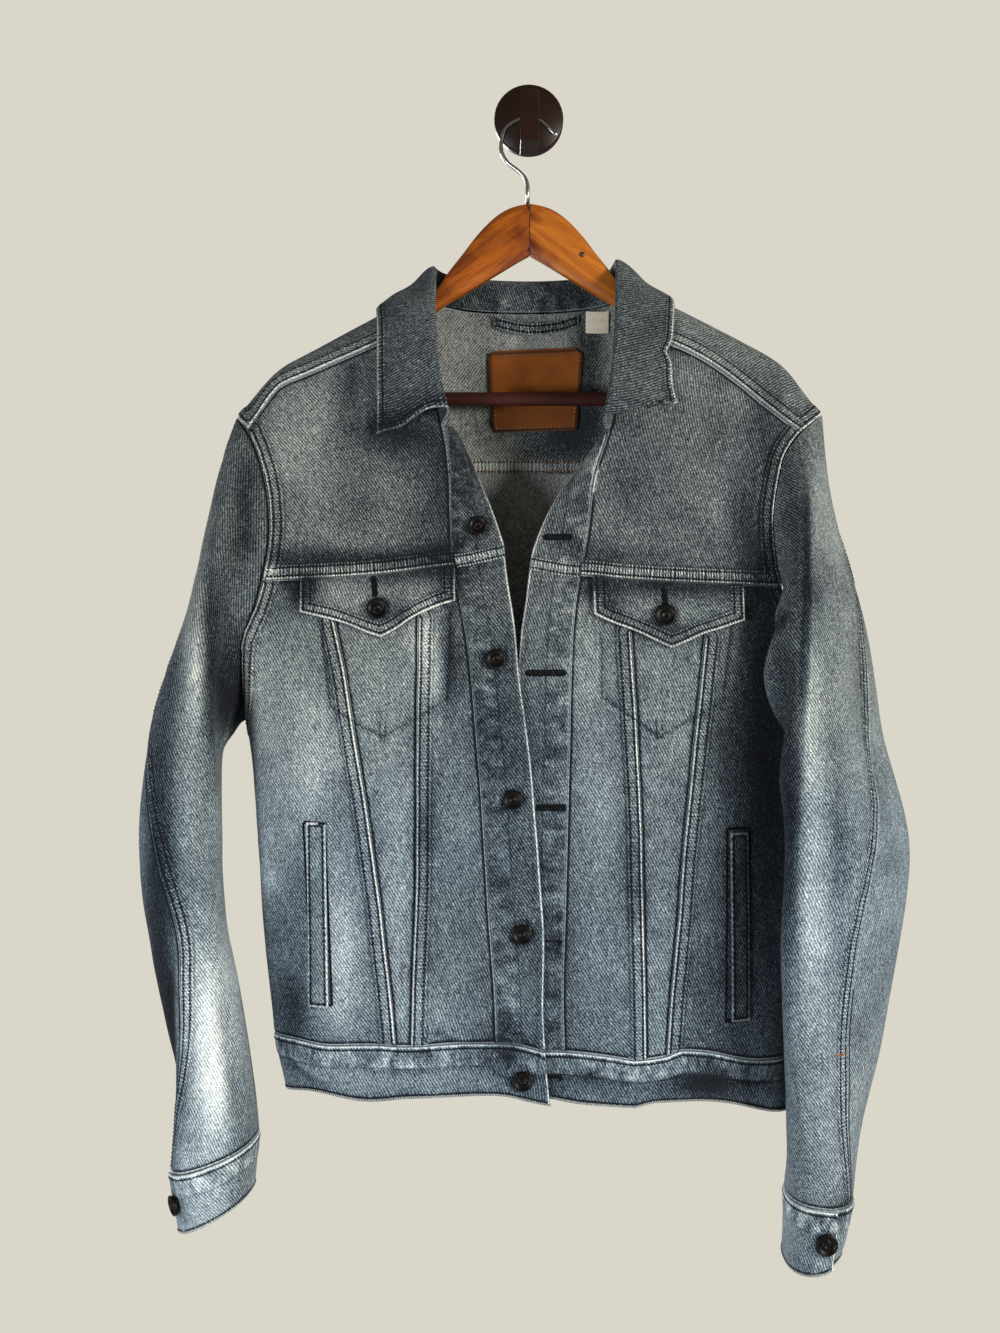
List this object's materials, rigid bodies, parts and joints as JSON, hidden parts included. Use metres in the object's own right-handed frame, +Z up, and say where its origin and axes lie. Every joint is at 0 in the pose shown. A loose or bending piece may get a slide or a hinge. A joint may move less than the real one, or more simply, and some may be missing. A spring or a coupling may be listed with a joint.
{
  "type": "denim jacket on a wooden hanger and wall hook",
  "caption": "Light-wash denim trucker jacket, unbuttoned, hanging flat on a wooden hanger from a round wall hook; open at neck, hem and cuffs.",
  "frame": {"origin": "centre of the round wall plate's flat back, on the wall", "axes": "+Y into the wall, +Z up, +X to the right of someone who faces the jacket, which is its wearer's left"},
  "size_m": [0.616, 0.1331, 0.9438],
  "materials": {
    "denim": "washed twill denim",
    "denim_pale": "washed twill denim, paler and greener",
    "denim_deep": "washed twill denim, several plies, darker",
    "black_metal": "blackened tack button",
    "varnished_wood": "orange-brown varnish",
    "stained_bar": "maroon-brown stain",
    "steel_wire": "plated wire",
    "brown_plastic": "dark brown satin",
    "tan_leather": "tan, bare",
    "satin_label": "cream satin, bare"
  },
  "bodies": {
    "root": {"back_panel": "denim", "back_yoke": "denim_pale", "care_label": "satin_label", "centre_front_left": "denim", "centre_front_right": "denim", "collar": "denim_deep", "cuff_button_left": "black_metal", "cuff_button_right": "black_metal", "cuff_left": "denim_deep", "cuff_right": "denim_deep", "flap_button_left": "black_metal", "flap_button_right": "black_metal", "front_button_1": "black_metal", "front_button_2": "black_metal", "front_button_3": "black_metal", "front_button_4": "black_metal", "front_button_5": "black_metal", "front_yoke_left": "denim_pale", "front_yoke_right": "denim_pale", "hanger_arm_left": "varnished_wood", "hanger_arm_right": "varnished_wood", "hanger_hook": "steel_wire", "locker_loop": "denim_pale", "neck_patch": "tan_leather", "placket_left": "denim_deep", "placket_right": "denim_deep", "pocket_flap_left": "denim_deep", "pocket_flap_right": "denim_deep", "pocket_welt_left": "denim_deep", "pocket_welt_right": "denim_deep", "side_front_left": "denim", "side_front_right": "denim", "top_sleeve_left": "denim", "top_sleeve_right": "denim", "trouser_bar": "stained_bar", "under_sleeve_left": "denim", "under_sleeve_right": "denim", "waistband": "denim_deep", "wall_peg": "brown_plastic", "wall_plate": "brown_plastic", "wedge_front_left": "denim", "wedge_front_right": "denim"}
  },
  "joints": []
}
